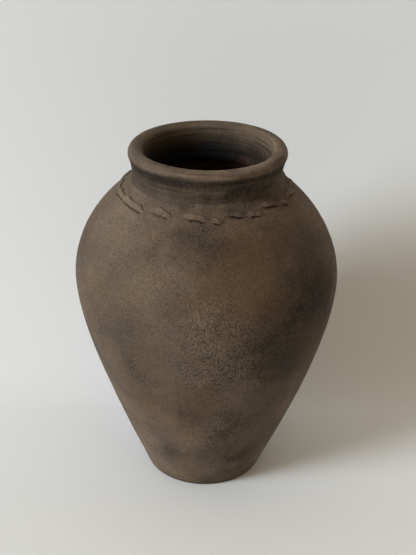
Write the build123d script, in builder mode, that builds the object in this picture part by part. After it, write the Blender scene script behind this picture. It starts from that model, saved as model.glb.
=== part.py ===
from build123d import *
import os
from math import acos, cos, degrees, pi, radians, sin, tan

# Greek storage jar (pithos). The potter raises it from a clay disc in courses, each one
# thrown up and left to stiffen before the next is luted on its edge with slip. A collar
# makes the neck, a rolled coil makes the rim, and a pinched strip covers the neck joint.
# Millimetres and degrees, +Z up, origin under the middle of the foot.

# Outside of the jar
jar_height = 400.0
belly_radius = 146.4
belly_height = 250.0
foot_radius = 68.0
foot_lean = 22.0
foot_round = 3.0
shoulder_slope = 35.0

# Fullness of the wall's curves, as handle lengths
foot_fullness = 40.0
lower_fullness = 69.0
upper_fullness = 49.0
shoulder_fullness = 35.5

# Neck and mouth
throat_radius = 69.4
neck_wall = 11.1
neck_flare = 60.0
neck_turn = 12.0
throat_turn = 14.0
lip_roll = 7.9

# Thickness of the rest
wall = 10.0
foot_wall = 12.0
floor_thickness = 16.0

# Luting seams, measured along the outside of the wall
lower_seams = (82.0, 144.0, 204.0)
belly_seam = 0.0
shoulder_seam = 60.0
neck_seam = 6.5
rim_seam = 8.5
seam_crown = 4.0
seam_reach = 4.0

# Coil smoothed into the inside corner of the floor
corner_coil = 12.0
coil_hollow = 24.0
coil_bed = 1.0

# Pinched strip over the neck joint
band_width = 10.5
band_smear = 7.0
band_grip = 6.0
band_lift = 2.4
band_lip = 1.7
band_swell = 0.9
pinch_pitch = 29.0
pinch_bite = 5.0
pinch_trim = 0.6
press_radius = 20.0
press_depth = 2.2

os.makedirs("parts", exist_ok=True)

# Where the rolled lip, the flaring neck and the shoulder meet
neck_radius = throat_radius + neck_wall
lip_radius = throat_radius + lip_roll
lip_height = jar_height - lip_roll
flare_turn = acos((neck_radius + neck_flare - lip_radius) / (neck_flare + lip_roll))
neck_height = lip_height - (neck_flare + lip_roll) * sin(flare_turn)
slope = radians(shoulder_slope)
bend = 90 - shoulder_slope
down_slope = Vector(cos(slope), -sin(slope))
root = Vector(
    neck_radius + neck_turn * (1 - sin(slope)),
    neck_height - neck_turn * cos(slope),
)

# Where the throat turns out under the shoulder, one wall below its outside
under_radius = throat_radius + throat_turn * (1 - sin(slope))
under_height = root.Y - (wall + (under_radius - root.X) * sin(slope)) / cos(slope)
under = Vector(under_radius, under_height)
throat_foot = under_height + throat_turn * cos(slope)

# Where the wall leaves the floor
lean = radians(foot_lean)
foot_rise = Vector(sin(lean), cos(lean))
foot = Vector(foot_radius, 0)
corner = Vector(foot_radius + floor_thickness * tan(lean) - foot_wall / cos(lean), floor_thickness)
belly = Vector(belly_radius, belly_height)
belly_inside = Vector(belly_radius - wall, belly_height)
lower_pull = Vector(0, -lower_fullness)
upper_pull = Vector(0, upper_fullness)

# Half section of the whole jar
with BuildSketch() as jar_section:
    with BuildLine():
        Line((0, 0), foot)
        lower_wall = Bezier(foot, foot + foot_rise * foot_fullness, belly + lower_pull, belly)
        upper_wall = Bezier(belly, belly + upper_pull, root + down_slope * shoulder_fullness, root)
        neck_bend = JernArc(root, -down_slope, neck_turn, -bend)
        flare = JernArc(neck_bend @ 1, (0, 1), neck_flare, -degrees(flare_turn))
        lip = JernArc(flare @ 1, flare % 1, lip_roll, 180 + degrees(flare_turn))
        throat = Line(lip @ 1, (throat_radius, throat_foot))
        JernArc(throat @ 1, (0, -1), throat_turn, bend)
        Bezier(
            under,
            under + down_slope * shoulder_fullness,
            belly_inside + upper_pull,
            belly_inside,
        )
        Bezier(
            belly_inside,
            belly_inside + lower_pull,
            corner + foot_rise * foot_fullness,
            corner,
        )
        Line(corner, (0, floor_thickness))
        Line((0, floor_thickness), (0, 0))
    make_face()


def below(outline, along, through):
    """Half section under a seam that crosses the wall square to its outside.

    The edge below is crowned and the edge above is hollowed to sit on it.
    """
    face = outline.position_at(along, PositionMode.LENGTH)
    up = outline.tangent_at(along, PositionMode.LENGTH)
    inward = Vector(-up.Y, up.X)
    outer = face - inward * seam_reach
    inner = face + inward * (through + seam_reach)
    with BuildSketch() as region:
        with BuildLine():
            ThreePointArc(outer, face + inward * (through / 2) + up * seam_crown, inner)
            Polyline(
                inner,
                (0, inner.Y),
                (0, -floor_thickness),
                (2 * belly_radius, -floor_thickness),
                (2 * belly_radius, outer.Y),
                outer,
            )
        make_face()
    return region.sketch


with BuildSketch() as floor_region:
    Rectangle(2 * belly_radius, floor_thickness, align=(Align.MIN, Align.MIN))

seams = [floor_region.sketch]
for along in lower_seams:
    seams.append(below(lower_wall, along, foot_wall))
seams.append(below(upper_wall, belly_seam, wall))
seams.append(below(upper_wall, shoulder_seam, wall))
seams.append(below(upper_wall, upper_wall.length - neck_seam, neck_wall))
seams.append(below(flare, flare.length - rim_seam, neck_wall))

# Base disc, cut flat underneath
with BuildPart() as base_disc:
    with BuildSketch(Plane.XZ):
        add(jar_section.sketch)
        add(floor_region.sketch, mode=Mode.INTERSECT)
    revolve(axis=Axis.Z)
    fillet(base_disc.faces().sort_by(Axis.Z)[0].edges(), foot_round)
base_disc.part.label = "base_disc"
export_step(base_disc.part, "parts/base_disc.step")


def course(name, lower_seam, upper_seam):
    """One ring of the wall, from one luting seam to the next."""
    with BuildPart() as ring:
        with BuildSketch(Plane.XZ):
            add(jar_section.sketch)
            add(upper_seam, mode=Mode.INTERSECT)
            add(lower_seam, mode=Mode.SUBTRACT)
        revolve(axis=Axis.Z)
    ring.part.label = name
    export_step(ring.part, f"parts/{name}.step")


course_names = (
    "foot_course",
    "lower_course",
    "middle_course",
    "belly_course",
    "upper_course",
    "shoulder_course",
    "neck_collar",
)
for name, lower_seam, upper_seam in zip(course_names, seams, seams[1:]):
    course(name, lower_seam, upper_seam)

# Rolled rim on top of the collar
with BuildPart() as rim_roll:
    with BuildSketch(Plane.XZ):
        add(jar_section.sketch)
        add(seams[-1], mode=Mode.SUBTRACT)
    revolve(axis=Axis.Z)
rim_roll.part.label = "rim_roll"
export_step(rim_roll.part, "parts/rim_roll.step")

# Coil smoothed into the corner between floor and wall
coil_toe = corner - Vector(corner_coil, 0)
coil_top = corner + foot_rise * corner_coil + Vector(coil_bed, 0)
with BuildPart() as floor_coil:
    with BuildSketch(Plane.XZ):
        with BuildLine():
            RadiusArc(coil_top, coil_toe, coil_hollow)
            Polyline(
                coil_toe,
                coil_toe - Vector(0, coil_bed),
                corner + Vector(foot_wall / 2, -coil_bed),
                coil_top + Vector(foot_wall / 2, 0),
                coil_top,
            )
        make_face()
        add(jar_section.sketch, mode=Mode.SUBTRACT)
    revolve(axis=Axis.Z)
floor_coil.part.label = "floor_coil"
export_step(floor_coil.part, "parts/floor_coil.step")

# Strip laid over the neck joint. Its top is smeared up the neck, and its lower lip
# stands off the shoulder.
band_foot = upper_wall.length - band_width
lip_place = upper_wall.position_at(band_foot, PositionMode.LENGTH)
up_slope = upper_wall.tangent_at(band_foot, PositionMode.LENGTH)
off = Vector(up_slope.Y, -up_slope.X)
heart = lip_place + off * band_lift
ridge = heart + off * band_lip
underside = heart - off * band_lip
feather = neck_bend.position_at(band_smear, PositionMode.LENGTH)
grip = upper_wall.position_at(band_foot + band_grip, PositionMode.LENGTH)

# Each pinch lifts the lower edge in an arch, and the thumb presses down between two
pinch_count = round(2 * pi * heart.X / pinch_pitch)
half_pitch = pi * heart.X / pinch_count
pinch_rise = pinch_bite - pinch_trim
pinch_radius = (half_pitch**2 + pinch_rise**2) / (2 * pinch_rise)
pinch = heart - up_slope * (band_lip + pinch_radius - pinch_bite)
press = ridge + off * (press_radius - press_depth)
with BuildPart() as pinched_band:
    with BuildSketch(Plane.XZ):
        with BuildLine():
            ThreePointArc(feather, (feather + ridge) * 0.5 + off * band_swell, ridge)
            ThreePointArc(ridge, heart - up_slope * band_lip, underside)
            Polyline(underside, grip, grip - off * wall, feather - off * wall, feather)
        make_face()
        add(jar_section.sketch, mode=Mode.SUBTRACT)
    revolve(axis=Axis.Z)
    with PolarLocations(0, pinch_count):
        with Locations(Plane((pinch.X, 0, pinch.Y), z_dir=(off.X, 0, off.Y))):
            Cylinder(pinch_radius, 2 * (band_lift + band_lip), mode=Mode.SUBTRACT)
    with PolarLocations(0, pinch_count, start_angle=180 / pinch_count):
        with Locations((press.X, 0, press.Y)):
            Sphere(press_radius, mode=Mode.SUBTRACT)
pinched_band.part.label = "pinched_band"
export_step(pinched_band.part, "parts/pinched_band.step")
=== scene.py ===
"""Looks of a Greek storage jar, a pithos: a coil-built, smoke-darkened terracotta vessel.

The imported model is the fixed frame. Each CAD solid is replaced by one finished piece in its place,
drawn as a half-section, spun round the jar's axis and then made uneven as by hand.
Lengths in the classes are millimetres and angles are degrees. An angle round the jar is measured
from the front, which faces -Y, and grows to the viewer's right. Blender gets metres and radians.
"""

import logging
import math
from collections.abc import Sequence
from dataclasses import dataclass, field
from enum import Enum
from functools import cached_property

import bpy
import numpy as np
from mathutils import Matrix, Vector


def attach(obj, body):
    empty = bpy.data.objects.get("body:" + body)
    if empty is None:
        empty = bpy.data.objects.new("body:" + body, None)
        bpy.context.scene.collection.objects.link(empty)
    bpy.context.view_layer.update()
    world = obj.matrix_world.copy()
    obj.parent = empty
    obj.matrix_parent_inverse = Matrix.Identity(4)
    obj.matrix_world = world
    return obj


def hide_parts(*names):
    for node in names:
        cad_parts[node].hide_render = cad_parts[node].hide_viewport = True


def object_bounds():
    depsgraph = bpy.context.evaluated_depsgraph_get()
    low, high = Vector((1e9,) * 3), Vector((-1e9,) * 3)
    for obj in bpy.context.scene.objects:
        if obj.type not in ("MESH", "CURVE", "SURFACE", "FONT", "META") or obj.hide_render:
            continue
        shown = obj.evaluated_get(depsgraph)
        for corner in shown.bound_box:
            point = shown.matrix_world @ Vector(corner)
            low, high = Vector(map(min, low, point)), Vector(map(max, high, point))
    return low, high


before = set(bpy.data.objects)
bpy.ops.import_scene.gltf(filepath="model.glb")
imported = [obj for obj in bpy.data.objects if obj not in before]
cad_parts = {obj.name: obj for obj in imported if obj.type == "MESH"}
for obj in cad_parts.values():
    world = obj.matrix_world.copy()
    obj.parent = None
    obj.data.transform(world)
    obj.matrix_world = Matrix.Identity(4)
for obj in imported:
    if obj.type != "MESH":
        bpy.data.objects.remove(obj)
cad_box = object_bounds()

LOG = logging.getLogger("pithos")
MM = 0.001
MERGE_DISTANCE = 0.002 * MM
# Attribute of the painted shade in the band's slits at a point, below nought where a brow's front is rubbed
SLIT_SHADE_ATTRIBUTE = "slit_shade_and_rubbing"

# Input and output numbers of the Mix node in its colour mode
MIX_FACTOR, MIX_A, MIX_B, MIX_RESULT = 0, 6, 7, 2
# A Bump node's Normal before anything feeds it
NO_NORMAL = (0.0, 0.0, 0.0)

# How many points a curve, an arc, a straight stretch and a seam are sampled with
CURVE_POINTS, ARC_POINTS, LINE_POINTS, SEAM_POINTS = 600, 200, 100, 5
# A line's direction is measured over this much to each side
HEADING_REACH = 0.2


class Slot(Enum):
    """Material slots of the record."""

    SMOKED = "smoked_terracotta"
    RAW = "raw_terracotta"


def linear(colour: str) -> tuple[float, float, float, float]:
    """Turns an sRGB hex colour into Blender's linear colour.

    Args:
        colour: six hex digits, such as "6f5f4d".

    Returns:
        Red, green, blue and alpha, with alpha 1.
    """
    shares = [int(colour[i : i + 2], 16) / 255 for i in (0, 2, 4)]
    levels = [s / 12.92 if s <= 0.04045 else ((s + 0.055) / 1.055) ** 2.4 for s in shares]
    return (levels[0], levels[1], levels[2], 1.0)


def add_node(
    tree: bpy.types.NodeTree, kind: str, inputs: dict | None = None, **settings: str | bool
) -> bpy.types.bpy_prop_collection:
    """Adds a node, sets it and links it.

    Args:
        tree: the node tree that gets the node.
        kind: Blender's name of the node's type, without the ShaderNode that all begin with.
        inputs: for an input's name or number, a value or the output socket that feeds it.
        settings: the node's own settings, by name.

    Returns:
        The new node's outputs.
    """
    node = tree.nodes.new(f"ShaderNode{kind}")
    for name, value in settings.items():
        setattr(node, name, value)
    for name, value in (inputs or {}).items():
        if isinstance(value, bpy.types.NodeSocket):
            tree.links.new(value, node.inputs[name])
        else:
            node.inputs[name].default_value = value
    return node.outputs


def empty_tree(owner: bpy.types.Material | bpy.types.World) -> bpy.types.NodeTree:
    """Clears the nodes of a material or a world.

    Args:
        owner: the material or the world.

    Returns:
        Its node tree, with nothing in it.
    """
    owner.use_nodes = True
    owner.node_tree.nodes.clear()
    return owner.node_tree


def per_metre(size: float) -> float:
    """Gives the scale of a pattern whose marks are about this many millimetres across."""
    return 1 / (size * MM)


def bezier(start: np.ndarray, pull: np.ndarray, draw: np.ndarray, end: np.ndarray) -> np.ndarray:
    """Samples a cubic curve.

    Args:
        start: first point.
        pull: handle of the first point.
        draw: handle of the last point.
        end: last point.

    Returns:
        Points along the curve, one a row.
    """
    t = np.linspace(0, 1, CURVE_POINTS)[:, None]
    return (1 - t) ** 3 * start + 3 * (1 - t) ** 2 * t * pull + 3 * (1 - t) * t**2 * draw + t**3 * end


def arc(centre: tuple[float, float], radius: float, first: float, last: float) -> np.ndarray:
    """Samples a round stretch.

    Args:
        centre: middle of the circle.
        radius: its radius.
        first: direction of the first point from the centre, in degrees.
        last: direction of the last point.

    Returns:
        Points along the arc, one a row.
    """
    turn = np.radians(np.linspace(first, last, ARC_POINTS))
    return np.array(centre) + radius * np.stack([np.cos(turn), np.sin(turn)], axis=1)


def read_points(piece: bpy.types.Object) -> np.ndarray:
    """Reads where a piece's points are.

    Args:
        piece: the piece.

    Returns:
        The points in metres, one a row.
    """
    places = np.zeros(len(piece.data.vertices) * 3)
    piece.data.vertices.foreach_get("co", places)
    return places.reshape(-1, 3)


def write_points(piece: bpy.types.Object, places: np.ndarray) -> None:
    """Moves a piece's points to the given places in metres."""
    piece.data.vertices.foreach_set("co", places.ravel())
    piece.data.update()


def angle_round(places: np.ndarray) -> np.ndarray:
    """Gives the angle round the jar of points in metres, in degrees from the front."""
    return np.degrees(np.arctan2(places[:, 0], -places[:, 1]))


def flattened(places: np.ndarray) -> np.ndarray:
    """Turns points in metres into radius and height in millimetres."""
    return np.stack([np.hypot(places[:, 0], places[:, 1]), places[:, 2]], axis=1) / MM


def draw_line(name: str, points: np.ndarray) -> bpy.types.Object:
    """Draws a line, point by point, and stays in edit mode.

    Args:
        name: name of the new object.
        points: the line's points in metres.

    Returns:
        The new object, which is the active one.
    """
    bpy.ops.object.select_all(action="DESELECT")
    bpy.ops.mesh.primitive_plane_add(size=MM, location=(0.0, 0.0, 0.0))
    drawn = bpy.context.object
    drawn.name = name
    bpy.ops.object.mode_set(mode="EDIT")
    bpy.ops.mesh.select_all(action="SELECT")
    bpy.ops.mesh.merge(type="CENTER")
    bpy.ops.transform.translate(value=tuple(points[0]))
    for step in np.diff(points, axis=0):
        bpy.ops.mesh.extrude_region_move(TRANSFORM_OT_translate={"value": tuple(step)})
    return drawn


@dataclass(frozen=True)
class Run:
    """A smooth line on the half-section, as close points of radius and height."""

    points: np.ndarray

    @cached_property
    def reach(self) -> np.ndarray:
        """Length from the start to each point."""
        steps = np.linalg.norm(np.diff(self.points, axis=0), axis=1)
        return np.concatenate([[0.0], np.cumsum(steps)])

    @property
    def length(self) -> float:
        """Whole length of the line."""
        return float(self.reach[-1])

    def at(self, along: float | np.ndarray) -> np.ndarray:
        """Gives the point, or points, at a length from the start."""
        return np.stack([np.interp(along, self.reach, self.points[:, i]) for i in (0, 1)], axis=-1)

    def heading(self, along: float | np.ndarray) -> np.ndarray:
        """Gives the unit direction of the line at a length from the start."""
        ahead = self.at(np.asarray(along) + HEADING_REACH) - self.at(np.asarray(along) - HEADING_REACH)
        return ahead / np.linalg.norm(ahead, axis=-1, keepdims=True)

    def between(self, first: float, last: float, spacing: float) -> np.ndarray:
        """Gives evenly spaced points from one length to another.

        Args:
            first: length of the first point.
            last: length of the last point.
            spacing: about how far apart the points are.

        Returns:
            The points, one a row, ends included.
        """
        count = max(2, round(abs(last - first) / spacing) + 1)
        return self.at(np.linspace(first, last, count))

    def nearest(self, point: np.ndarray) -> float:
        """Gives the length at which the line passes nearest to a point."""
        return float(self.reach[np.argmin(np.linalg.norm(self.points - point, axis=1))])


@dataclass(frozen=True)
class Seam:
    """A joint between two coils of the wall, square to the wall and crowned inside it."""

    line: np.ndarray
    outside: float
    inside: float


@dataclass(frozen=True)
class JarSection:
    """The jar's half-section: outside line, lip and inside line, and the seams across the wall."""

    jar_height: float = 399.98
    belly_radius: float = 145.8
    belly_height: float = 250.0
    foot_radius: float = 68.0
    foot_lean: float = 22.0
    foot_round: float = 4.0
    shoulder_slope: float = 35.0
    foot_fullness: float = 40.0
    lower_fullness: float = 69.0
    upper_fullness: float = 49.0
    shoulder_fullness: float = 35.5
    throat_radius: float = 69.4
    neck_wall: float = 11.1
    neck_flare: float = 60.0
    neck_turn: float = 12.0
    throat_turn: float = 14.0
    lip_roll: float = 7.9
    wall: float = 10.0
    foot_wall: float = 12.0
    floor_thickness: float = 16.0
    lower_seams: tuple[float, float, float] = (82.0, 144.0, 204.0)
    shoulder_seam: float = 60.0
    neck_seam: float = 6.5
    rim_seam: float = 8.5
    seam_crown: float = 4.0
    seam_reach: float = 4.0

    @property
    def neck_radius(self) -> float:
        """Outside of the neck where it stands upright."""
        return self.throat_radius + self.neck_wall

    @property
    def lip_centre(self) -> tuple[float, float]:
        """Middle of the lip's round."""
        return (self.throat_radius + self.lip_roll, self.jar_height - self.lip_roll)

    @property
    def flare_turn(self) -> float:
        """Angle through which the neck flares before it meets the lip."""
        across = self.neck_radius + self.neck_flare - self.lip_centre[0]
        return math.degrees(math.acos(across / (self.neck_flare + self.lip_roll)))

    @property
    def neck_height(self) -> float:
        """Height at which the neck stands upright."""
        drop = (self.neck_flare + self.lip_roll) * math.sin(math.radians(self.flare_turn))
        return self.lip_centre[1] - drop

    @property
    def down_slope(self) -> np.ndarray:
        """Direction down the shoulder."""
        slope = math.radians(self.shoulder_slope)
        return np.array([math.cos(slope), -math.sin(slope)])

    @property
    def foot_rise(self) -> np.ndarray:
        """Direction up the wall at the foot."""
        lean = math.radians(self.foot_lean)
        return np.array([math.sin(lean), math.cos(lean)])

    @property
    def shoulder_foot(self) -> float:
        """Direction, in degrees, from a neck bend's centre to its end on the shoulder."""
        return 270.0 - self.shoulder_slope

    @property
    def corner(self) -> np.ndarray:
        """Inner corner of floor and wall."""
        lean = math.radians(self.foot_lean)
        across = self.foot_radius + self.floor_thickness * math.tan(lean) - self.foot_wall / math.cos(lean)
        return np.array([across, self.floor_thickness])

    @cached_property
    def neck_bend(self) -> np.ndarray:
        """Hollow bend from the shoulder up into the neck."""
        centre = (self.neck_radius + self.neck_turn, self.neck_height)
        return arc(centre, self.neck_turn, self.shoulder_foot, 180.0)

    @cached_property
    def lower_wall(self) -> Run:
        """Outside from the foot to the belly."""
        foot = np.array([self.foot_radius, 0.0])
        belly = np.array([self.belly_radius, self.belly_height])
        pull = np.array([0.0, self.lower_fullness])
        return Run(bezier(foot, foot + self.foot_rise * self.foot_fullness, belly - pull, belly))

    @cached_property
    def upper_wall(self) -> Run:
        """Outside from the belly to the foot of the neck."""
        belly = np.array([self.belly_radius, self.belly_height])
        root = self.neck_bend[0]
        pull = np.array([0.0, self.upper_fullness])
        return Run(bezier(belly, belly + pull, root + self.down_slope * self.shoulder_fullness, root))

    @cached_property
    def outside(self) -> Run:
        """Whole outside line, from the foot to the lip."""
        centre = (self.neck_radius + self.neck_flare, self.neck_height)
        flare = arc(centre, self.neck_flare, 180.0, 180.0 - self.flare_turn)
        runs = [self.lower_wall.points, self.upper_wall.points[1:], self.neck_bend[1:], flare[1:]]
        return Run(np.concatenate(runs))

    @cached_property
    def lip(self) -> Run:
        """The rolled lip, over the top from outside to inside."""
        return Run(arc(self.lip_centre, self.lip_roll, -self.flare_turn, 180.0))

    @cached_property
    def inside(self) -> Run:
        """Whole inside line, from the lip down to the floor."""
        root = self.neck_bend[0]
        slope = math.radians(self.shoulder_slope)
        under_radius = self.throat_radius + self.throat_turn * (1 - math.sin(slope))
        under_height = root[1] - (self.wall + (under_radius - root[0]) * math.sin(slope)) / math.cos(slope)
        throat_foot = under_height + self.throat_turn * math.cos(slope)
        mouth = [self.throat_radius, self.lip_centre[1]]
        throat = np.linspace(mouth, [self.throat_radius, throat_foot], LINE_POINTS)
        centre = (self.throat_radius + self.throat_turn, throat_foot)
        turn = arc(centre, self.throat_turn, 180.0, self.shoulder_foot)
        under = turn[-1]
        belly = np.array([self.belly_radius - self.wall, self.belly_height])
        upper_pull = np.array([0.0, self.upper_fullness])
        lower_pull = np.array([0.0, self.lower_fullness])
        shoulder_pull = self.down_slope * self.shoulder_fullness
        foot_pull = self.foot_rise * self.foot_fullness
        shoulder = bezier(under, under + shoulder_pull, belly + upper_pull, belly)
        lower = bezier(belly, belly - lower_pull, self.corner + foot_pull, self.corner)
        return Run(np.concatenate([throat, turn[1:], shoulder[1:], lower[1:]]))

    def seam(self, along: float, through: float) -> Seam:
        """Works out a seam across the wall.

        Args:
            along: length on the outside line at which the seam lies.
            through: thickness of the wall there.

        Returns:
            The seam's line from outside to inside, and its lengths on the two wall lines.
        """
        up = self.outside.heading(along)
        inward = np.array([-up[1], up[0]])
        depth = np.linspace(0, through, SEAM_POINTS)[:, None]
        bow = 1 - ((depth - through / 2) / (through / 2 + self.seam_reach)) ** 2
        line = self.outside.at(along) + inward * depth + up * self.seam_crown * bow
        return Seam(line, self.outside.nearest(line[0]), self.inside.nearest(line[-1]))

    @cached_property
    def seams(self) -> list[Seam]:
        """All seams that cross the wall, from the lowest to the one under the rim."""
        belly = self.lower_wall.length
        rows = [self.seam(along, self.foot_wall) for along in self.lower_seams]
        rows += [self.seam(belly, self.wall), self.seam(belly + self.shoulder_seam, self.wall)]
        rows += [self.seam(self.root - self.neck_seam, self.neck_wall)]
        rows += [self.seam(self.outside.length - self.rim_seam, self.neck_wall)]
        return rows

    @property
    def root(self) -> float:
        """Length on the outside line at which the shoulder meets the neck's bend."""
        return self.lower_wall.length + self.upper_wall.length

    def wall_point(self, angle: float, height: float) -> tuple[float, float, float]:
        """Gives a place on the outside wall in metres.

        Args:
            angle: degrees from the front.
            height: height above the floor.

        Returns:
            The place's x, y and z.
        """
        radius = float(np.interp(height, self.outside.points[:, 1], self.outside.points[:, 0]))
        turn = math.radians(angle)
        return (radius * math.sin(turn) * MM, -radius * math.cos(turn) * MM, height * MM)


@dataclass(frozen=True)
class Pattern:
    """A noise pattern: about how large its marks are, and how much finer detail they carry."""

    size: float
    detail: float
    roughness: float

    def inputs(self, place: bpy.types.NodeSocket) -> dict:
        """Gives what a noise node needs to draw this pattern by place."""
        scale = per_metre(self.size)
        return {"Vector": place, "Scale": scale, "Detail": self.detail, "Roughness": self.roughness}


@dataclass(frozen=True)
class Patch:
    """A soft stain, by its place on the outside wall, its reach and its depth from 0 to 1."""

    angle: float
    height: float
    size: float
    depth: float


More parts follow.
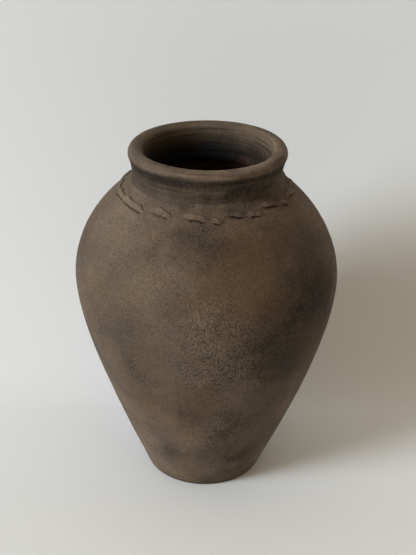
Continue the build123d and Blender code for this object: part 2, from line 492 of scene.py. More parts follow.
@dataclass(frozen=True)
class SmokedTerracotta:
    """Low-fired red clay, wiped with a brown slip and darkened by smoke in an open firing.

    The eye gets a dry, quite matt brown that drifts between warm clay and grey ash, with soft
    black clouds that thin out into specks, because soot stays longest between the grains, and
    with fine pits where grit was dragged out. Painted shade darkens the slits under the band's
    brows, the neck under the rim, the throat, the inner side away from the lamp and the foot's
    edge, and a painted pool of lamp light brightens the bare clay inside.
    """

    section: JarSection
    clay: str = "665644"
    ash: str = "5b4f43"
    dust: str = "7d6c5b"
    warm: str = "5e4831"
    # Soot; the same colour paints the shade in the slits, under the rim, down the throat and at the foot
    soot: str = "241b14"
    pit: str = "17130f"
    # Painted pool of lamp light on the bare red clay inside
    lamp_pool_colour: str = "b47c66"
    # Painted shade on the inner side away from the lamp
    inner_shade_black: str = "070505"
    roughness: float = 0.92
    specular: float = 0.2
    # How much smoother soot makes the clay
    soot_shine: float = 0.1
    cloud: Pattern = Pattern(42.0, 6.0, 0.62)
    drift: Pattern = Pattern(30.0, 5.0, 0.62)
    # Full swing of a stain's edge
    wander: float = 64.0
    # Clay grit is about half a millimetre: drawn near a pixel's size so that it shows
    grit: Pattern = Pattern(1.5, 1.0, 0.6)
    speck: Pattern = Pattern(2.2, 2.0, 0.6)
    dragged: Pattern = Pattern(2.0, 1.0, 0.5)
    brush: Pattern = Pattern(2.4, 3.0, 0.6)
    # Levels of a noise between which its marks go from least to most
    mark_levels: tuple[float, float] = (0.3, 0.7)
    ash_levels: tuple[float, float] = (0.36, 0.64)
    haze_levels: tuple[float, float] = (0.42, 0.72)
    haze_depth: float = 0.26
    pit_levels: tuple[float, float] = (0.5, 0.62)
    pit_depth: float = 0.85
    # Share of the pits that shows off the pitted stains, and on them
    pit_shares: tuple[float, float] = (0.1, 0.9)
    # How far the soot gathers into specks, and how far after wiping
    scatter: float = 0.36
    wiped_scatter: float = 0.16
    # How far the grit lightens and darkens the clay, and how far after wiping
    grain: float = 0.32
    wiped_grain: float = 0.2
    # The rag's level lines: how drawn out they are, where they begin, and how strong they are
    brush_stretch: float = 0.05
    brush_height: tuple[float, float] = (352.0, 366.0)
    brush_least: float = 0.15
    brush_depth: float = 0.38
    # How far brush lines, grit and pits stand out of the surface
    bump_strength: float = 0.8
    brush_relief: float = 0.3
    grit_relief: float = 0.45
    pit_relief: float = 0.6
    # Soot round the neck, and soot with painted shade under the rim's overhang and on it: the heights
    # between which it comes, and its depth
    neck_soot_and_shade: tuple[tuple[float, float, float], ...] = (
        (360.0, 366.0, 0.44), (375.0, 386.0, 0.84), (389.5, 394.5, 0.0),
    )
    # The edge on which the jar stands is the dirtiest, and painted contact shade darkens it further
    foot_dirt_and_shade: float = 0.6
    foot_dirt_and_shade_height: float = 7.0
    # Soot and painted shade that deepen down the throat, from none at the upper height to full depth at the
    # lower
    throat_soot_and_shade: tuple[float, float] = (370.0, 394.0)
    throat_depth: float = 0.95
    # How far a wall has to face the jar's axis before it counts as the inside
    inside_facing: tuple[float, float] = (-0.1, -0.5)
    # Painted shade on one side of the throat, the side that faces away from the lamp
    shaded_side: float = -160.0
    shaded_spread: tuple[float, float] = (0.35, 0.85)
    shaded_height: tuple[float, float] = (368.0, 389.0)
    shaded_depth: float = 0.95
    smoke: tuple[Patch, ...] = (
        Patch(-1, 344, 36, 0.34), Patch(-12, 336, 38, 0.32), Patch(6, 334, 42, 0.3),
        Patch(0, 318, 44, 0.24), Patch(54, 280, 64, 0.52), Patch(52, 318, 50, 0.3), Patch(58, 267, 42, 0.3),
        Patch(50, 200, 42, 0.3), Patch(35, 330, 36, 0.34), Patch(19, 324, 32, 0.2),
        Patch(22, 247, 34, 0.26), Patch(13, 238, 34, 0.2), Patch(-4, 364, 24, 0.5), Patch(9, 365, 22, 0.6),
        Patch(56, 246, 62, 0.55), Patch(45, 250, 42, 0.55), Patch(30, 270, 40, 0.2),
        Patch(64, 196, 50, 0.3), Patch(41, 194, 42, 0.42), Patch(34, 192, 30, 0.16),
        Patch(37, 163, 40, 0.26), Patch(36, 240, 48, 0.42), Patch(22, 214, 44, 0.28),
        Patch(28, 120, 46, 0.3), Patch(-15, 334, 30, 0.3), Patch(5, 180, 34, 0.22), Patch(34, 20, 30, 0.34),
        # Patch(6, 0, 22, 0.3) darkens the foot's bottom edge at the front: painted contact shade
        Patch(6, 0, 22, 0.3), Patch(29, 216, 52, 0.42), Patch(24, 194, 34, 0.16), Patch(-37, 232, 58, 0.26),
        Patch(-32, 184, 42, 0.28), Patch(-14, 164, 30, 0.14), Patch(-8, 132, 30, 0.42),
        Patch(-27, 62, 34, 0.46), Patch(14, 107, 28, 0.36), Patch(34, 48, 40, 0.2), Patch(26, 53, 30, 0.42),
        # The patches from 374 to 382 mm high darken the neck under the rim, most to the right of the front:
        # soot, and painted shade from the rim
        Patch(-72, 298, 44, 0.28), Patch(2, 374, 30, 0.5), Patch(-12, 374, 24, 0.2),
        Patch(18, 375, 28, 0.4), Patch(31, 374, 44, 0.85), Patch(58, 376, 40, 0.6), Patch(44, 381, 32, 0.5),
        Patch(23, 382, 26, 0.25), Patch(118, 300, 80, 0.45), Patch(160, 205, 90, 0.5),
        Patch(-140, 255, 90, 0.42), Patch(-108, 130, 70, 0.35), Patch(98, 120, 70, 0.4),
        Patch(-172, 340, 60, 0.4),
    )
    rust: tuple[Patch, ...] = (
        Patch(19, 330, 60, 0.6), Patch(16, 296, 66, 0.6), Patch(28, 280, 50, 0.5), Patch(0, 296, 60, 0.4),
        Patch(-26, 143, 44, 0.55), Patch(-5, 160, 40, 0.5), Patch(-10, 108, 40, 0.35),
        Patch(52, 350, 44, 0.4), Patch(-100, 300, 80, 0.5), Patch(150, 300, 80, 0.6),
        Patch(-160, 140, 80, 0.6), Patch(84, 190, 80, 0.4),
    )
    pale: tuple[Patch, ...] = (
        Patch(-60, 336, 60, 0.4), Patch(62, 340, 40, 0.25), Patch(12, 399, 44, 0.5),
        Patch(30, 399, 40, 0.5), Patch(46, 399, 40, 0.4), Patch(76, 397, 36, 0.45), Patch(0, 354, 28, 0.3),
        Patch(10, 353, 30, 0.5), Patch(26, 353, 36, 0.65), Patch(81, 327, 42, 0.4),
        Patch(-6, 242, 40, 0.35), Patch(-6, 196, 30, 0.35), Patch(57, 26, 48, 0.75),
        Patch(46, 354, 34, 0.25), Patch(-46, 32, 58, 0.7), Patch(-52, 110, 60, 0.3),
        Patch(-20, 303, 50, 0.22), Patch(3, 261, 44, 0.4), Patch(13, 180, 44, 0.4),
        Patch(-12, 90, 40, 0.45), Patch(-29, 128, 32, 0.35), Patch(22, 104, 44, 0.45),
        Patch(62, 190, 70, 0.2), Patch(60, 112, 44, 0.35), Patch(-42, 68, 40, 0.35),
        Patch(-24, 157, 30, 0.25), Patch(12, 32, 44, 0.4), Patch(2, 103, 36, 0.45),
        Patch(-120, 330, 70, 0.35), Patch(170, 90, 80, 0.35),
    )
    pitted: tuple[Patch, ...] = (
        Patch(9, 212, 84, 1.0), Patch(28, 218, 70, 0.8), Patch(2, 262, 56, 0.5), Patch(-33, 184, 50, 0.5),
        Patch(40, 270, 60, 0.45), Patch(14, 114, 56, 1.0), Patch(18, 76, 60, 0.7), Patch(-56, 250, 50, 0.4),
        Patch(140, 230, 110, 0.8), Patch(-130, 200, 90, 0.7),
    )
    # Two holes in the neck, where bits of lime have blown out
    pocks: tuple[Patch, ...] = (Patch(14.5, 371.3, 2.6, 0.95), Patch(22.0, 372.7, 2.6, 0.95))
    # Inside, a painted pool of lamp light on the bare red clay where the lamp shines in through the mouth
    inner_lamp_pool: tuple[Patch, ...] = (Patch(147, 350, 36, 0.9), Patch(156, 330, 46, 0.9))

    def stain(
        self, tree: bpy.types.NodeTree, place: bpy.types.NodeSocket, patches: tuple[Patch, ...]
    ) -> bpy.types.NodeSocket:
        """Lays soft-edged stains over each other.

        Args:
            tree: the material's nodes.
            place: the place on the jar, already made to wander.
            patches: the stains.

        Returns:
            A socket that is 0 off the stains and grows to their depth.
        """
        clear = 1.0
        for patch in patches:
            centre = self.section.wall_point(patch.angle, patch.height)
            away = add_node(tree, "VectorMath", {0: place, 1: centre}, operation="DISTANCE")
            left = add_node(
                tree, "MapRange",
                {"Value": away["Value"], "From Min": 0.0, "From Max": patch.size * MM,
                 "To Min": 1 - patch.depth, "To Max": 1.0},
                interpolation_type="SMOOTHSTEP",
            )[0]
            clear = add_node(tree, "Math", {0: clear, 1: left}, operation="MULTIPLY")[0]
        return add_node(tree, "Math", {0: 1.0, 1: clear}, operation="SUBTRACT")[0]

    def inner_side(self, tree: bpy.types.NodeTree, outward: bpy.types.NodeSocket) -> bpy.types.NodeSocket:
        """Tells the jar's inside from its outside by the way the wall faces.

        Args:
            tree: the material's nodes.
            outward: the level direction away from the jar's axis.

        Returns:
            A socket that is 1 where the wall faces the jar's axis and 0 on its outside.
        """
        normal = add_node(tree, "NewGeometry")["Normal"]
        facing = add_node(tree, "VectorMath", {0: outward, 1: normal}, operation="DOT_PRODUCT")["Value"]
        start, full = self.inside_facing
        return add_node(tree, "MapRange", {"Value": facing, "From Min": start, "From Max": full})[0]

    def gathered_soot_and_shade(
        self, tree: bpy.types.NodeTree, height: bpy.types.NodeSocket, inside: bpy.types.NodeSocket
    ) -> bpy.types.NodeSocket:
        """Gathers soot, with painted shade, round the neck, under the rim and in the throat, and grime with
        painted contact shade at the foot.

        Args:
            tree: the material's nodes.
            height: the height on the jar.
            inside: the socket that tells the jar's inside.

        Returns:
            A socket that is 0 away from neck and foot and grows to the depth of soot and painted shade.
        """
        neck = 0.0
        for start, full, depth in self.neck_soot_and_shade:
            neck = add_node(
                tree, "MapRange",
                {"Value": height, "From Min": start * MM, "From Max": full * MM,
                 "To Min": neck, "To Max": depth},
                interpolation_type="SMOOTHSTEP",
            )[0]
        standing = add_node(
            tree, "MapRange",
            {"Value": height, "From Max": self.foot_dirt_and_shade_height * MM,
             "To Min": self.foot_dirt_and_shade, "To Max": 0.0},
        )[0]
        outer = add_node(tree, "Math", {0: neck, 1: standing}, operation="MAXIMUM")[0]
        bottom, top = (edge * MM for edge in self.throat_soot_and_shade)
        throat = add_node(
            tree, "MapRange",
            {"Value": height, "From Min": top, "From Max": bottom,
             "To Min": 0.0, "To Max": self.throat_depth},
        )[0]
        return add_node(
            tree, "Mix", {"Factor": inside, "A": outer, "B": throat}, data_type="FLOAT"
        )["Result"]

    def painted_inner_shade(
        self,
        tree: bpy.types.NodeTree,
        height: bpy.types.NodeSocket,
        outward: bpy.types.NodeSocket,
        inside: bpy.types.NodeSocket,
    ) -> bpy.types.NodeSocket:
        """Paints shade on the side of the inside that faces away from the lamp.

        Args:
            tree: the material's nodes.
            height: the height on the jar.
            outward: the level direction away from the jar's axis.
            inside: the socket that tells the jar's inside.

        Returns:
            A socket that is 0 off the shaded side and grows to its depth.
        """
        turn = math.radians(self.shaded_side)
        side = (math.sin(turn), -math.cos(turn), 0.0)
        toward = add_node(tree, "VectorMath", {0: outward, 1: side}, operation="DOT_PRODUCT")["Value"]
        edge, middle = self.shaded_spread
        share = add_node(
            tree, "MapRange",
            {"Value": toward, "From Min": edge, "From Max": middle, "To Min": 0.0, "To Max": inside},
        )[0]
        bottom, top = (edge * MM for edge in self.shaded_height)
        deep = add_node(
            tree, "MapRange",
            {"Value": height, "From Min": top, "From Max": bottom,
             "To Min": 0.0, "To Max": self.shaded_depth},
        )[0]
        return add_node(tree, "Math", {0: share, 1: deep}, operation="MULTIPLY")[0]

    def build(self) -> bpy.types.Material:
        """Makes the material.

        Returns:
            The finished material.
        """
        material = bpy.data.materials.new("smoked_terracotta_slip_wiped")
        tree = empty_tree(material)
        coords = add_node(tree, "TexCoord")["Object"]
        height = add_node(tree, "SeparateXYZ", {0: coords})["Z"]
        level = add_node(tree, "VectorMath", {0: coords, 1: (1.0, 1.0, 0.0)}, operation="MULTIPLY")[0]
        outward = add_node(tree, "VectorMath", {0: level}, operation="NORMALIZE")[0]

        # Stains keep soft, cloudy edges because the place wanders before it is compared
        drift = add_node(tree, "TexNoise", self.drift.inputs(coords))
        centred = add_node(
            tree, "VectorMath", {0: drift["Color"], 1: (0.5, 0.5, 0.5)}, operation="SUBTRACT"
        )[0]
        place = add_node(
            tree, "VectorMath",
            {0: centred, 1: (self.wander * MM,) * 3, 2: coords},
            operation="MULTIPLY_ADD",
        )[0]
        smoke, rust, dusty, pitted, inner_lamp_pool = (
            self.stain(tree, place, patches)
            for patches in (self.smoke, self.rust, self.pale, self.pitted, self.inner_lamp_pool)
        )
        # Painted shade in the slits under the band's brows, lighter where their fronts are rubbed
        slit_shade_and_rubbing = add_node(tree, "Attribute", attribute_name=SLIT_SHADE_ATTRIBUTE)["Fac"]
        pale = add_node(tree, "Math", {0: dusty, 1: slit_shade_and_rubbing}, operation="SUBTRACT", use_clamp=True)[0]

        cloud, speck, dragged, grit = (
            add_node(tree, "TexNoise", pattern.inputs(coords))[0]
            for pattern in (self.cloud, self.speck, self.dragged, self.grit)
        )

        # Clouds of ash and clay, and a thin haze of smoke between the large stains
        low, high = self.ash_levels
        ashen = add_node(tree, "MapRange", {"Value": cloud, "From Min": low, "From Max": high})[0]
        low, high = self.haze_levels
        haze = add_node(
            tree, "MapRange",
            {"Value": drift[0], "From Min": low, "From Max": high,
             "To Min": 0.0, "To Max": self.haze_depth},
        )[0]
        inside = self.inner_side(tree, outward)
        # Soot and painted shade round the neck, under the rim and in the throat, and grime with painted
        # contact shade at the foot
        gathered_soot_shade = self.gathered_soot_and_shade(tree, height, inside)
        settled_soot_shade = add_node(tree, "Math", {0: smoke, 1: gathered_soot_shade}, operation="MAXIMUM")[0]
        hazy_soot_shade = add_node(tree, "Math", {0: settled_soot_shade, 1: haze}, operation="ADD")[0]
        sooty_with_shade = add_node(tree, "Math", {0: hazy_soot_shade, 1: slit_shade_and_rubbing}, operation="ADD", use_clamp=True)[0]

        # Neck and rim were wiped with a wet rag as they turned
        bottom, top = (edge * MM for edge in self.brush_height)
        wiped = add_node(
            tree, "MapRange",
            {"Value": height, "From Min": bottom, "From Max": top,
             "To Min": self.brush_least, "To Max": 1.0},
        )[0]

        # Thin soot lies in specks between the grains
        least, most = self.mark_levels
        loose = add_node(
            tree, "MapRange", {"Value": wiped, "To Min": self.scatter, "To Max": self.wiped_scatter}
        )[0]
        strewing = add_node(
            tree, "MapRange",
            {"Value": speck, "From Min": least, "From Max": most, "To Min": -1.0, "To Max": 1.0},
            clamp=False,
        )[0]
        scatter = add_node(tree, "Math", {0: strewing, 1: loose}, operation="MULTIPLY")[0]
        speckled_soot_shade = add_node(
            tree, "Math", {0: scatter, 1: sooty_with_shade, 2: sooty_with_shade}, operation="MULTIPLY_ADD", use_clamp=True
        )[0]

        # Painted shade on the inner side that faces away from the lamp
        drawn = self.painted_inner_shade(tree, height, outward, inside)
        # Painted pool of lamp light on the bare red clay inside
        lamp_pool_share = add_node(tree, "Math", {0: inner_lamp_pool, 1: inside}, operation="MULTIPLY")[0]

        # Dragged-out grit leaves dark pits
        low, high = self.pit_levels
        pocked = add_node(
            tree, "MapRange",
            {"Value": dragged, "From Min": low, "From Max": high, "To Min": 0.0, "To Max": self.pit_depth},
        )[0]
        few, many = self.pit_shares
        share = add_node(tree, "MapRange", {"Value": pitted, "To Min": few, "To Max": many})[0]
        strewn = add_node(tree, "Math", {0: pocked, 1: share}, operation="MULTIPLY")[0]
        aloft = add_node(tree, "CombineXYZ", {"Z": height})[0]
        on_neck = add_node(
            tree, "VectorMath",
            {0: outward, 1: (self.section.neck_radius * MM,) * 3, 2: aloft},
            operation="MULTIPLY_ADD",
        )[0]
        holes = self.stain(tree, on_neck, self.pocks)
        pits = add_node(tree, "Math", {0: strewn, 1: holes}, operation="MAXIMUM")[0]

        # Fine level lines, left by the wet rag as neck and rim turned under it
        turned = add_node(
            tree, "Mapping", {"Vector": coords, "Scale": (self.brush_stretch, self.brush_stretch, 1.0)}
        )[0]
        brush = add_node(tree, "TexNoise", self.brush.inputs(turned))[0]
        lines = add_node(
            tree, "MapRange",
            {"Value": brush, "From Min": least, "From Max": most,
             "To Min": -self.brush_depth, "To Max": self.brush_depth},
            clamp=False,
        )[0]
        coarse = add_node(
            tree, "MapRange", {"Value": wiped, "To Min": self.grain, "To Max": self.wiped_grain}
        )[0]
        sprinkled = add_node(
            tree, "MapRange",
            {"Value": grit, "From Min": least, "From Max": most, "To Min": -1.0, "To Max": 1.0},
            clamp=False,
        )[0]
        grain = add_node(tree, "Math", {0: sprinkled, 1: coarse, 2: 1.0}, operation="MULTIPLY_ADD")[0]
        tone = add_node(tree, "Math", {0: lines, 1: wiped, 2: grain}, operation="MULTIPLY_ADD")[0]

        colour = linear(self.clay)
        for factor, paint in (
            (ashen, self.ash), (pale, self.dust), (rust, self.warm), (speckled_soot_shade, self.soot),
            # Painted shade on the inside's far side, and a painted pool of lamp light on its bare clay
            (drawn, self.inner_shade_black), (lamp_pool_share, self.lamp_pool_colour), (pits, self.pit),
        ):
            colour = add_node(
                tree, "Mix", {MIX_FACTOR: factor, MIX_A: colour, MIX_B: linear(paint)}, data_type="RGBA"
            )[MIX_RESULT]
        colour = add_node(tree, "HueSaturation", {"Value": tone, "Color": colour})[0]

        roughness = add_node(
            tree, "MapRange",
            {"Value": sooty_with_shade, "To Min": self.roughness, "To Max": self.roughness - self.soot_shine},
        )[0]
        normal = NO_NORMAL
        for strength, relief, bumps, sunk in (
            (wiped, self.brush_relief, brush, False),
            (self.bump_strength, self.grit_relief, grit, False),
            (self.bump_strength, self.pit_relief, pits, True),
        ):
            normal = add_node(
                tree, "Bump",
                {"Strength": strength, "Distance": relief * MM, "Height": bumps, "Normal": normal},
                invert=sunk,
            )[0]
        shader = add_node(
            tree, "BsdfPrincipled",
            {"Base Color": colour, "Roughness": roughness, "Normal": normal,
             "Specular IOR Level": self.specular},
        )
        add_node(tree, "OutputMaterial", {"Surface": shader[0]})
        return material


@dataclass(frozen=True)
class RawTerracotta:
    """The same red clay left bare inside the jar, where neither slip nor smoke reached it.

    The eye gets a dull brick red, chalky and quite matt, with the wet fingers' turning lines.
    """

    brick: str = "6d4a3b"
    chalk: str = "7b5f4e"
    roughness: float = 0.95
    specular: float = 0.2
    blotch: Pattern = Pattern(30.0, 5.0, 0.6)
    fingers: Pattern = Pattern(9.0, 4.0, 0.5)
    finger_stretch: float = 0.06
    # Drawn coarser than the half-millimetre grit so that it shows
    grit: Pattern = Pattern(1.6, 2.0, 0.5)
    chalk_levels: tuple[float, float] = (0.35, 0.65)
    # Levels of grit and finger lines together, and how dark and light they make the clay
    speckle_levels: tuple[float, float] = (0.7, 1.3)
    speckle_tones: tuple[float, float] = (0.85, 1.15)
    # How strongly finger lines and grit shade the surface, and how far they stand out of it
    finger_strength: float = 0.5
    finger_relief: float = 0.8
    grit_strength: float = 0.6
    grit_relief: float = 0.35

    def build(self) -> bpy.types.Material:
        """Makes the material.

        Returns:
            The finished material.
        """
        material = bpy.data.materials.new("raw_terracotta_hand_smoothed")
        tree = empty_tree(material)
        coords = add_node(tree, "TexCoord")["Object"]
        blotch = add_node(tree, "TexNoise", self.blotch.inputs(coords))[0]
        turned = add_node(
            tree, "Mapping", {"Vector": coords, "Scale": (self.finger_stretch, self.finger_stretch, 1.0)}
        )[0]
        fingers = add_node(tree, "TexNoise", self.fingers.inputs(turned))[0]
        grit = add_node(tree, "TexNoise", self.grit.inputs(coords))[0]
        low, high = self.chalk_levels
        share = add_node(tree, "MapRange", {"Value": blotch, "From Min": low, "From Max": high})[0]
        body = add_node(
            tree, "Mix",
            {MIX_FACTOR: share, MIX_A: linear(self.brick), MIX_B: linear(self.chalk)},
            data_type="RGBA",
        )[MIX_RESULT]
        speckle = add_node(tree, "Math", {0: grit, 1: fingers}, operation="ADD")[0]
        low, high = self.speckle_levels
        dark, light = self.speckle_tones
        tone = add_node(
            tree, "MapRange",
            {"Value": speckle, "From Min": low, "From Max": high, "To Min": dark, "To Max": light},
        )[0]
        colour = add_node(tree, "HueSaturation", {"Value": tone, "Color": body})[0]
        normal = NO_NORMAL
        for strength, relief, bumps in (
            (self.finger_strength, self.finger_relief, fingers),
            (self.grit_strength, self.grit_relief, grit),
        ):
            normal = add_node(
                tree, "Bump",
                {"Strength": strength, "Distance": relief * MM, "Height": bumps, "Normal": normal},
            )[0]
        shader = add_node(
            tree, "BsdfPrincipled",
            {"Base Color": colour, "Normal": normal, "Roughness": self.roughness,
             "Specular IOR Level": self.specular},
        )
        add_node(tree, "OutputMaterial", {"Surface": shader[0]})
        return material


@dataclass(frozen=True)
class BackdropPaper:
    """Pale, matt seamless paper off a roll: an even white-grey that only the light shades."""

    paper: str = "e0e0e0"
    roughness: float = 0.9
    specular: float = 0.1

    def build(self) -> bpy.types.Material:
        """Makes the material, clear from behind so that the jar can be looked at from there too.

        Returns:
            The finished material.
        """
        material = bpy.data.materials.new("matt_backdrop_paper_rolled")
        tree = empty_tree(material)
        shader = add_node(
            tree, "BsdfPrincipled",
            {"Base Color": linear(self.paper), "Roughness": self.roughness,
             "Specular IOR Level": self.specular},
        )[0]
        clear = add_node(tree, "BsdfTransparent")[0]
        behind = add_node(tree, "NewGeometry")["Backfacing"]
        sided = add_node(tree, "MixShader", {0: behind, 1: shader, 2: clear})[0]
        add_node(tree, "OutputMaterial", {"Surface": sided})
        return material


@dataclass(frozen=True)
class Handwork:
    """What the hand leaves on a coil-built jar: a slight lean, swells, and small lumps."""

    swell_size: float = 75.0
    swell: float = 1.6
    lump_size: float = 13.0
    lump: float = 0.3
    # The unevenness from front to back is this much longer than the one from side to side
    cross_stretch: float = 1.13
    # Sideways lean of the jar's axis, at even steps from the foot to the rim
    lean: tuple[float, ...] = (-1.5, 0.5, 1.5, -1.8, 0.5)
    ridge_lengths: tuple[float, ...] = (15.0, 8.7, 4.6, 3.1)
    ridge_heights: tuple[float, ...] = (0.12, 0.08, 0.05, 0.03)
    # Sets the waves of the ridges apart
    ridge_shift: float = 1.7

    def ridges(self, height: np.ndarray, strength: float) -> np.ndarray:
        """Gives the throwing ridges as a small growth of the radius.

        Args:
            height: heights on the wall.
            strength: how strong the ridges are on this wall.

        Returns:
            The growth at each height.
        """
        waves = [
            depth * np.sin(2 * math.pi * height / wave + self.ridge_shift * number)
            for number, (wave, depth) in enumerate(zip(self.ridge_lengths, self.ridge_heights))
        ]
        return strength * np.sum(waves, axis=0)

    def soften(self, piece: bpy.types.Object) -> None:
        """Makes a turned piece uneven and leans it, alike for all pieces at one place.

        Args:
            piece: the piece, which is the active object.
        """
        for axis, stretch in (("X", 1.0), ("Y", self.cross_stretch)):
            for size, depth in ((self.swell_size, self.swell), (self.lump_size, self.lump)):
                clouds = bpy.data.textures.new(f"clay_{axis}_{size:.0f}", "CLOUDS")
                clouds.noise_scale = size * stretch * MM
                clouds.noise_depth = 1
                push = piece.modifiers.new("unevenness", "DISPLACE")
                push.texture = clouds
                push.texture_coords = "LOCAL"
                push.direction = axis
                push.strength = depth * MM
                bpy.ops.object.modifier_apply(modifier=push.name)
                bpy.data.textures.remove(clouds)
        self.tilt(piece)

    def tilt(self, piece: bpy.types.Object) -> None:
        """Leans the piece with a tall cage whose levels are slid sideways.

        Args:
            piece: the piece, which is the active object.
        """
        low, high = cad_box
        frame_data = bpy.data.lattices.new("lean")
        frame_data.points_u, frame_data.points_v, frame_data.points_w = 2, 2, len(self.lean)
        cage = bpy.data.objects.new("lean", frame_data)
        bpy.context.collection.objects.link(cage)
        tall = frame_data.points[-1].co.z - frame_data.points[0].co.z
        cage.location = (low + high) / 2
        cage.scale = (high.x - low.x, high.y - low.y, (high.z - low.z) / tall)
        for number, point in enumerate(frame_data.points):
            level = number // (frame_data.points_u * frame_data.points_v)
            point.co_deform.x += self.lean[level] * MM / cage.scale.x
        bpy.context.view_layer.update()
        hold = piece.modifiers.new("lean", "LATTICE")
        hold.object = cage
        bpy.ops.object.modifier_apply(modifier=hold.name)
        bpy.data.objects.remove(cage)
        bpy.data.lattices.remove(frame_data)


def spin_outline(name: str, outline: np.ndarray, steps: int) -> bpy.types.Object:
    """Draws a closed outline, point by point, and turns it round the jar's axis.

    Args:
        name: name of the piece.
        outline: radius and height of each point, in millimetres. The last joins the first.
        steps: number of steps in the full turn.

    Returns:
        The spun piece, closed, with its faces outward. It is the active object.
    """
    closed = np.vstack([outline, outline[:1]]) * MM
    piece = draw_line(name, np.insert(closed, 1, 0.0, axis=1))
    piece.data.name = name
    bpy.ops.object.mode_set(mode="OBJECT")
    turn = piece.modifiers.new("turn", "SCREW")
    turn.axis = "Z"
    turn.angle = 2 * math.pi
    turn.steps = turn.render_steps = steps
    turn.use_merge_vertices = True
    turn.merge_threshold = MERGE_DISTANCE
    bpy.ops.object.modifier_apply(modifier=turn.name)
    bpy.ops.object.mode_set(mode="EDIT")
    bpy.ops.mesh.select_all(action="SELECT")
    bpy.ops.mesh.remove_doubles(threshold=MERGE_DISTANCE)
    bpy.ops.mesh.normals_make_consistent(inside=False)
    bpy.ops.object.mode_set(mode="OBJECT")
    return piece


@dataclass(frozen=True)
class Pinch:
    """One thumb pinch of the band, from its first to its last degree round the jar.

    The pinch is a raised brow with a slit under it. Brow, start and end are how far below the
    foot of the neck lie the brow's top and the slit's two ends. The brow stands proud by lift.
    """

    first: float
    last: float
    brow: float
    start: float
    end: float
    lift: float


